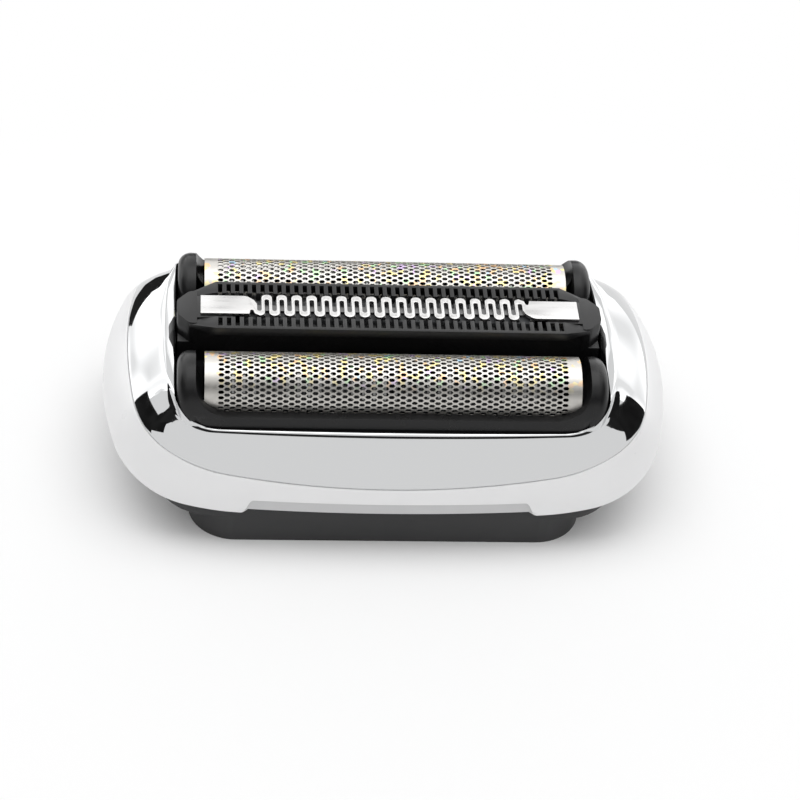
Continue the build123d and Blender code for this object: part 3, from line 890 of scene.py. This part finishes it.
def foil_sheet(name, settings):
    """A flat sheet of six-sided cells, each with the face of its hole still in it."""
    side = settings.cell_side
    row_pitch = settings.row_pitch
    deselect_all()
    bpy.ops.mesh.primitive_circle_add(
        vertices=6, radius=side, fill_type="NGON", rotation=(0, 0, radians(30))
    )
    piece = name_piece(name)
    bpy.ops.object.transform_apply()
    piece.scale = (1, row_pitch / (sqrt(3) * side), 1)
    bpy.ops.object.transform_apply()
    with editing(piece):
        bpy.ops.mesh.inset(thickness=settings.web, depth=0)
        bpy.ops.transform.resize(value=(settings.hole_stretch, 1 / settings.hole_stretch, 1))
    # Every second column of cells stands half a row higher
    repeat(piece, 2, (1.5 * side, row_pitch / 2, 0))
    repeat(piece, settings.column_pairs, (3 * side, 0, 0))
    repeat(piece, settings.rows, (0, row_pitch, 0))
    with editing(piece):
        bpy.ops.mesh.remove_doubles(threshold=side / 50)
    return piece


def add_foil_borders(piece, settings, half_length, half_width):
    """Centres the cells, draws the outer edge out to plain borders and opens the holes."""
    mesh = bmesh.new()
    mesh.from_mesh(piece.data)
    xs = [vert.co.x for vert in mesh.verts]
    ys = [vert.co.y for vert in mesh.verts]
    centre = Vector(((min(xs) + max(xs)) / 2, (min(ys) + max(ys)) / 2, 0))
    bmesh.ops.translate(mesh, verts=mesh.verts, vec=-centre)
    end_x = (max(xs) - min(xs)) / 2 - END_BORDER * settings.cell_side
    leg_y = (max(ys) - min(ys)) / 2 - LEG_BORDER * settings.row_pitch
    # The six-sided faces are the holes, and the metal round them is four-sided
    holes = [face for face in mesh.faces if len(face.verts) == 6]
    rim = [edge for edge in mesh.edges if edge.is_boundary]
    drawn = bmesh.ops.extrude_edge_only(mesh, edges=rim)
    for vert in drawn["geom"]:
        if not isinstance(vert, bmesh.types.BMVert):
            continue
        x, y = vert.co.x, vert.co.y
        if abs(x) > end_x:
            vert.co.x = half_length if x > 0 else -half_length
        if abs(y) > leg_y:
            vert.co.y = half_width if y > 0 else -half_width
    bmesh.ops.delete(mesh, geom=holes, context="FACES")
    mesh.to_mesh(piece.data)
    mesh.free()


def bend_foil(piece, offset):
    """Bends a flat sheet over the arch, with straight legs."""
    quarter = FOIL_RADIUS * pi / 2
    for vert in piece.data.vertices:
        across = vert.co.y
        angle = min(max(across / FOIL_RADIUS, -pi / 2), pi / 2)
        leg = max(abs(across) - quarter, 0)
        vert.co.y = offset + FOIL_RADIUS * sin(angle)
        vert.co.z = ARCH_Z + FOIL_RADIUS * cos(angle) - leg
    piece.data.update()


class SHAVER_OT_foils(bpy.types.Operator):
    """Models the two perforated foils"""

    bl_idname = "shaver.foils"
    bl_label = "Foils"

    def execute(self, context):
        settings = context.scene.foil_head.foil
        nickel = foil_nickel(settings)
        # Painted shade: the inner face of each foil is near black, standing in for the shade inside the
        # head
        inside = brushed_steel("foil_inside_painted_shade", (0.05, 0.05, 0.048), roughness=0.5)
        leg = ARCH_Z - FOIL_LOW.z
        half_width = FOIL_RADIUS * pi / 2 + leg
        for side, offset in (("front", -FOIL_OFFSET), ("rear", FOIL_OFFSET)):
            piece = foil_sheet(f"{side}_foil_sheet", settings)
            add_foil_borders(piece, settings, FOIL_HIGH.x, half_width)
            bend_foil(piece, offset)
            face_outwards(piece)
            dress(piece, nickel, inside)
            apply_modifier(piece, "SOLIDIFY", thickness=settings.sheet, offset=-1, material_offset=1)
            smooth(piece, degrees=40)
            stand_for(piece, f"{side}_foil")
        return {"FINISHED"}


def ear_dome(name, side_x, side_y):
    """A smooth dome over one ear of a frame: an arch across the foil with its outer edge rounded."""
    radius = EAR_RADIUS + EAR_COVER
    middle_y = side_y * (-FRAME_LOW.y - EAR_RADIUS)
    middle_z = FRAME_HIGH.z - EAR_RADIUS
    outline = [(-radius, -EAR_LEG), (radius, -EAR_LEG), *arc(0, 0, radius, 0, pi, EAR_STEPS)]
    piece = flat_face(name, [(side_x * EAR_START, middle_y + y, middle_z + z) for y, z in outline])
    reach = side_x * (EAR_END + EAR_COVER - EAR_START)
    with editing(piece):
        bpy.ops.mesh.extrude_region_move(TRANSFORM_OT_translate={"value": (reach, 0, 0)})
        bpy.ops.mesh.bevel(
            offset=EAR_ROUNDING, segments=10, profile=0.5, affect="EDGES", clamp_overlap=False
        )
    face_outwards(piece)
    smooth(piece, degrees=40)
    return piece


class SHAVER_OT_foil_frames(bpy.types.Operator):
    """Rounds the edges of the two black foil frames, and their ears to smooth domes"""

    bl_idname = "shaver.foil_frames"
    bl_label = "Foil Frames"

    def execute(self, context):
        plastic = context.scene.foil_head.plastic
        black = moulded_plastic("frame_black", plastic.black, roughness=0.3, gloss=0.3)
        for side, side_y in (("front", -1), ("rear", 1)):
            node = f"{side}_foil_frame"
            piece = rounded_copy(node, f"{node}_body", bevel=0.28 * MM, segments=4)
            ears = [ear_dome(f"{node}_ear", side_x, side_y) for side_x in (-1, 1)]
            only(piece)
            for ear in ears:
                ear.select_set(True)
            bpy.ops.object.join()
            dress(piece, black)
            stand_for(piece, node)
        return {"FINISHED"}


# Trimmer

def strip_edge(settings):
    """The rear edge of the strip from left to right, with a slot into it at each wave."""
    flat_y = (STRIP_HIGH.y - STRIP_LOW.y) / 2
    wave_y = flat_y + settings.proud
    half_slot = settings.slot / 2
    bump = (settings.pitch - settings.slot) / 2 * BEND_FULLNESS
    slot_floor = -wave_y + settings.web
    first = -(settings.waves - 1) / 2 * settings.pitch - settings.pitch / 4
    points = [Vector((STRIP_LOW.x, flat_y))]
    for along, across in STRIP_SHOULDER:
        points.append(Vector((first + along * settings.pitch, across * flat_y)))
    for wave in range(settings.waves):
        x = first + wave * settings.pitch
        if wave > 0:
            points += arc(x - half_slot - bump, wave_y - bump, bump, pi / 2, 0, ARC_STEPS)
        else:
            points.append(Vector((x - half_slot, FIRST_SLOT_START * flat_y)))
        points += arc(x, slot_floor + half_slot, half_slot, pi, 2 * pi, 2 * ARC_STEPS)
        points += arc(x + half_slot + bump, wave_y - bump, bump, pi, pi / 2, ARC_STEPS)
    notch = first + settings.waves * settings.pitch
    for along, across in STRIP_NOTCH:
        points.append(Vector((notch + along * settings.pitch, across * flat_y)))
    points.append(Vector((STRIP_HIGH.x, flat_y)))
    return points


class SHAVER_OT_trimmer_strip(bpy.types.Operator):
    """Models the trimmer's serpentine strip"""

    bl_idname = "shaver.trimmer_strip"
    bl_label = "Trimmer Strip"

    def execute(self, context):
        rear = strip_edge(context.scene.foil_head.trimmer)
        outline = rear + [-point for point in rear]
        places = [(point.x, point.y, STRIP_LOW.z) for point in reversed(outline)]
        piece = flat_face("serpentine_strip", places)
        rise = (0, 0, STRIP_HIGH.z - STRIP_LOW.z)
        with editing(piece):
            bpy.ops.mesh.extrude_region_move(TRANSFORM_OT_translate={"value": rise})
        face_outwards(piece)
        apply_modifier(
            piece, "BEVEL", width=0.05 * MM, segments=2, limit_method="ANGLE", angle_limit=radians(60)
        )
        smooth(piece, degrees=40)
        steel = brushed_steel("strip_steel", (0.6, 0.595, 0.59), roughness=0.3, stretch=(0.06, 1, 1))
        dress(piece, steel)
        stand_for(piece, "trimmer_strip")
        return {"FINISHED"}


class SHAVER_OT_trimmer_housing(bpy.types.Operator):
    """Rounds the edges of the trimmer's housing with its comb guards"""

    bl_idname = "shaver.trimmer_housing"
    bl_label = "Trimmer Housing"

    def execute(self, context):
        plastic = context.scene.foil_head.plastic
        black = moulded_plastic("comb_black", plastic.black, roughness=0.38, gloss=0.4)
        piece = rounded_copy("trimmer_housing", "comb_housing", bevel=0.07 * MM, segments=2)
        dress(piece, black)
        stand_for(piece, "trimmer_housing")
        return {"FINISHED"}


# Inner pieces

def wind_spring(name, low, high):
    """A coil of round wire that fills a box."""
    steps = SPRING_TURN_STEPS * SPRING_TURNS
    middle = (low + high) / 2
    deselect_all()
    bpy.ops.mesh.primitive_circle_add(
        vertices=SPRING_WIRE_SIDES,
        radius=SPRING_WIRE,
        location=((high.y - low.y) / 2 - SPRING_WIRE, 0, 0),
        rotation=(radians(90), 0, 0),
        fill_type="NOTHING",
    )
    piece = name_piece(name)
    bpy.ops.object.transform_apply()
    apply_modifier(
        piece,
        "SCREW",
        angle=2 * pi * SPRING_TURNS,
        screw_offset=high.z - low.z - 2 * SPRING_WIRE,
        steps=steps,
        render_steps=steps,
    )
    piece.location = (middle.x, middle.y, low.z + SPRING_WIRE)
    bpy.ops.object.transform_apply()
    with editing(piece):
        bpy.ops.mesh.fill_holes(sides=SPRING_WIRE_SIDES)
    face_outwards(piece)
    smooth(piece, degrees=50)
    return piece


class SHAVER_OT_springs(bpy.types.Operator):
    """Winds the six coil springs from round wire"""

    bl_idname = "shaver.springs"
    bl_label = "Springs"

    def execute(self, context):
        steel = brushed_steel("spring_steel", (0.62, 0.62, 0.63), roughness=0.25, stretch=(1, 1, 0.3))
        for joint in frame["record"]["behaviour"]["joints"]:
            for deforming in joint.get("deforming_nodes", []):
                node = deforming["node"]
                low, high = (Vector(corner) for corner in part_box(node))
                piece = wind_spring(f"{node}_wire", low, high)
                dress(piece, steel)
                stand_for(piece, node)
                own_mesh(piece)
        return {"FINISHED"}


def close_blades(node, name):
    """The arched blades of a cutter, set as close together as on the real one."""
    low, high = (Vector(corner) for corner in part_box(node))
    piece = rounded_copy(node, name, bevel=0.03 * MM, segments=1)
    mesh = bmesh.new()
    mesh.from_mesh(piece.data)
    others = [vert for vert in mesh.verts if abs(vert.co.x) > BLADE_PITCH]
    bmesh.ops.delete(mesh, geom=others, context="VERTS")
    sheet = 2 * max(vert.co.x for vert in mesh.verts)
    bmesh.ops.translate(mesh, verts=mesh.verts, vec=(low.x + sheet / 2, 0, 0))
    mesh.to_mesh(piece.data)
    mesh.free()
    repeat(piece, 1 + int((high.x - low.x - sheet) / BLADE_PITCH), (BLADE_PITCH, 0, 0))
    return piece


class SHAVER_OT_inner_pieces(bpy.types.Operator):
    """Rounds the edges of the cassette frame, the cutters and the drive bridge"""

    bl_idname = "shaver.inner_pieces"
    bl_label = "Inner Pieces"

    def execute(self, context):
        plastic = context.scene.foil_head.plastic
        upright = (1, 1, 0.2)
        black = moulded_plastic("cassette_black", plastic.collar, roughness=0.45, gloss=0.3)
        grey = moulded_plastic("carrier_grey", plastic.grey, roughness=0.5, gloss=0.2)
        # Painted shade: the cutter blades are darker than bright steel, standing in for the shade under the
        # foils
        steel = brushed_steel("blade_steel", (0.3, 0.3, 0.3), roughness=0.34, stretch=upright)
        # Painted shade: the trimmer's blade is a dark steel, standing in for the shade of the recess under
        # the strip
        shaded_trimmer_steel = brushed_steel("trimmer_blade_shade_steel", (0.16, 0.16, 0.16), roughness=0.4, stretch=upright)
        pieces = [
            ("cassette_frame", 0.12 * MM, black),
            ("drive_bridge", 0.1 * MM, grey),
            ("front_cutter_carrier", 0.1 * MM, grey),
            ("rear_cutter_carrier", 0.1 * MM, grey),
            ("trimmer_blade_carrier", 0.1 * MM, grey),
            ("trimmer_blade", 0.03 * MM, shaded_trimmer_steel),
        ]
        for node, bevel, material in pieces:
            piece = rounded_copy(node, f"{node}_body", bevel, segments=2)
            dress(piece, material)
            stand_for(piece, node)
        for node in ("front_cutter_blades", "rear_cutter_blades"):
            piece = close_blades(node, f"{node}_body")
            dress(piece, steel)
            stand_for(piece, node)
        return {"FINISHED"}


# Stage

# Floor, and how far from its middle the shadow starts to fade and is gone; lamp; share of dim blotches
FLOOR_SIZE = 4
FLOOR_SHADOW_REACH = 38 * MM
FLOOR_WHITE_REACH = 75 * MM
KEY_PLACE = (0, 0.06, 0.5)
KEY_TILT = radians(-7)
KEY_LENGTH = 0.6
KEY_WIDTH = 0.4
CARD_DIMMEST = 0.55


def white_to_rays(tree, shader_out, white_share=1):
    """Shows plain white to the camera and to reflections, by a share, and the shader to all else."""
    path = add_node(tree, "ShaderNodeLightPath", {})
    seen = path.outputs["Is Camera Ray"]
    for other in ("Is Glossy Ray", "Is Transmission Ray"):
        either = add_node(tree, "ShaderNodeMath", {0: seen, 1: path.outputs[other]}, operation="MAXIMUM")
        seen = either.outputs["Value"]
    share = add_node(tree, "ShaderNodeMath", {0: seen, 1: white_share}, operation="MULTIPLY")
    white = add_node(tree, "ShaderNodeEmission", {"Color": (1, 1, 1, 1), "Strength": 1})
    inputs = {"Fac": share.outputs["Value"], 1: shader_out, 2: white.outputs["Emission"]}
    return add_node(tree, "ShaderNodeMixShader", inputs).outputs["Shader"]


def floor_material():
    """Pale floor that keeps the shadow near the head and runs out to white."""
    material, shader = new_material("pale_floor", (0.93, 0.93, 0.93), metallic=0, roughness=0.85)
    tree = material.node_tree
    place = add_node(tree, "ShaderNodeTexCoord", {})
    reach = add_node(tree, "ShaderNodeVectorMath", {0: place.outputs["Object"]}, operation="LENGTH")
    inputs = {
        "Value": reach.outputs["Value"],
        "From Min": FLOOR_SHADOW_REACH,
        "From Max": FLOOR_WHITE_REACH,
    }
    fade = add_node(tree, "ShaderNodeMapRange", inputs, interpolation_type="SMOOTHSTEP")
    seen = white_to_rays(tree, shader.outputs["BSDF"], fade.outputs["Result"])
    tree.links.new(seen, tree.nodes["Material Output"].inputs["Surface"])
    return material


def soft_world(strength):
    """Even soft light from all round, seen as white."""
    world = bpy.data.worlds.new("soft_world")
    bpy.context.scene.world = world
    world.use_nodes = True
    tree = world.node_tree
    background = tree.nodes["Background"]
    background.inputs["Color"].default_value = (1, 1, 1, 1)
    background.inputs["Strength"].default_value = strength
    seen = white_to_rays(tree, background.outputs["Background"])
    tree.links.new(seen, tree.nodes["World Output"].inputs["Surface"])


def reflected_card(name, place, degrees, width, height, brightness):
    """An upright card, turned about Z, that only shows in reflections."""
    deselect_all()
    bpy.ops.mesh.primitive_plane_add(size=1, location=place, rotation=(radians(90), 0, radians(degrees)))
    card = name_piece(name)
    card.scale = (width, height, 1)
    bpy.ops.object.transform_apply()
    material, shader = new_material(f"{name}_shade", (0, 0, 0), metallic=0, roughness=1)
    shader.inputs["Specular IOR Level"].default_value = 0
    shader.inputs["Emission Color"].default_value = (1, 1, 1, 1)
    blotches = object_noise(material, scale=5, detail=0)
    vary(material, shader, "Emission Strength", blotches, low=CARD_DIMMEST * brightness, high=brightness)
    card.data.materials.append(material)
    card.visible_camera = False
    card.visible_diffuse = False
    card.visible_transmission = False
    card.visible_shadow = False


def around(degrees, distance, height):
    """A place round the head, at an angle from the front."""
    return distance * sin(radians(degrees)), -distance * cos(radians(degrees)), height


def cards():
    """The cards round the head: name, place, turn in degrees, width, height and brightness of each."""
    rows = [
        ("front_card", around(0, 0.5, 0.36), 0, 1.3, 0.3, 0.03),
        ("back_card", (-0.025, 0.1, 0.014), 0, 0.15, 0.028, 0.03),
        ("corner_card", around(-30, 0.48, 0.17), -30, 0.26, 0.14, 0.02),
    ]
    for side, label in ((-1, "left"), (1, "right")):
        rows.append((f"{label}_card", around(side * 72, 0.5, 0.23), side * 72, 0.65, 0.36, 0.02))
        rows.append((f"{label}_softbox", around(side * 132, 0.56, 0.4), side * 132, 1.06, 0.84, 2.2))
    return rows


class SHAVER_OT_stage(bpy.types.Operator):
    """Sets the floor, the soft light, the reflected cards and the camera"""

    bl_idname = "shaver.stage"
    bl_label = "Stage"

    def execute(self, context):
        settings = context.scene.foil_head.stage
        deselect_all()
        bpy.ops.mesh.primitive_plane_add(size=FLOOR_SIZE)
        floor = name_piece("floor")
        floor.data.materials.append(floor_material())
        soft_world(settings.sky)
        bpy.ops.object.light_add(type="AREA", location=KEY_PLACE)
        lamp = bpy.context.object
        lamp.name = "key_lamp"
        lamp.data.shape = "RECTANGLE"
        lamp.data.size = KEY_LENGTH
        lamp.data.size_y = KEY_WIDTH
        lamp.data.energy = settings.key
        lamp.rotation_euler = (KEY_TILT, 0, 0)
        for card in cards():
            reflected_card(*card)
        bpy.ops.object.camera_add(location=settings.camera_place, rotation=settings.camera_turn)
        camera = bpy.context.object
        camera.name = "photo_camera"
        camera.data.lens = settings.lens
        camera.data.sensor_width = 36
        camera.data.clip_start = 0.01
        context.scene.camera = camera
        context.scene.view_settings.view_transform = "Standard"
        return {"FINISHED"}


class SHAVER_PT_foil_head(bpy.types.Panel):
    """Lists the steps that dress the foil head"""

    bl_idname = "SHAVER_PT_foil_head"
    bl_label = "Foil Head"
    bl_space_type = "VIEW_3D"
    bl_region_type = "UI"
    bl_category = "Foil Head"

    def draw(self, context):
        settings = context.scene.foil_head
        for group in (settings.shell, settings.foil, settings.trimmer, settings.plastic, settings.stage):
            box = self.layout.box()
            for name in group.__annotations__:
                box.prop(group, name)
        for operator in OPERATORS:
            self.layout.operator(operator.bl_idname)


OPERATORS = (
    SHAVER_OT_white_ring,
    SHAVER_OT_chrome_bezel,
    SHAVER_OT_foils,
    SHAVER_OT_foil_frames,
    SHAVER_OT_trimmer_strip,
    SHAVER_OT_trimmer_housing,
    SHAVER_OT_springs,
    SHAVER_OT_inner_pieces,
    SHAVER_OT_stage,
)
CLASSES = (
    ShellSettings,
    FoilSettings,
    TrimmerSettings,
    PlasticSettings,
    StageSettings,
    HeadSettings,
    *OPERATORS,
    SHAVER_PT_foil_head,
)


def register():
    """Adds the classes, and the settings on the scene."""
    for cls in CLASSES:
        bpy.utils.register_class(cls)
    bpy.types.Scene.foil_head = PointerProperty(type=HeadSettings)


def unregister():
    """Takes the settings and the classes away again."""
    del bpy.types.Scene.foil_head
    for cls in reversed(CLASSES):
        bpy.utils.unregister_class(cls)


def main():
    """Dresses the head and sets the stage."""
    register()
    bpy.ops.shaver.white_ring()
    bpy.ops.shaver.chrome_bezel()
    bpy.ops.shaver.foils()
    bpy.ops.shaver.foil_frames()
    bpy.ops.shaver.trimmer_strip()
    bpy.ops.shaver.trimmer_housing()
    bpy.ops.shaver.springs()
    bpy.ops.shaver.inner_pieces()
    bpy.ops.shaver.stage()


if __name__ == "__main__":
    main()
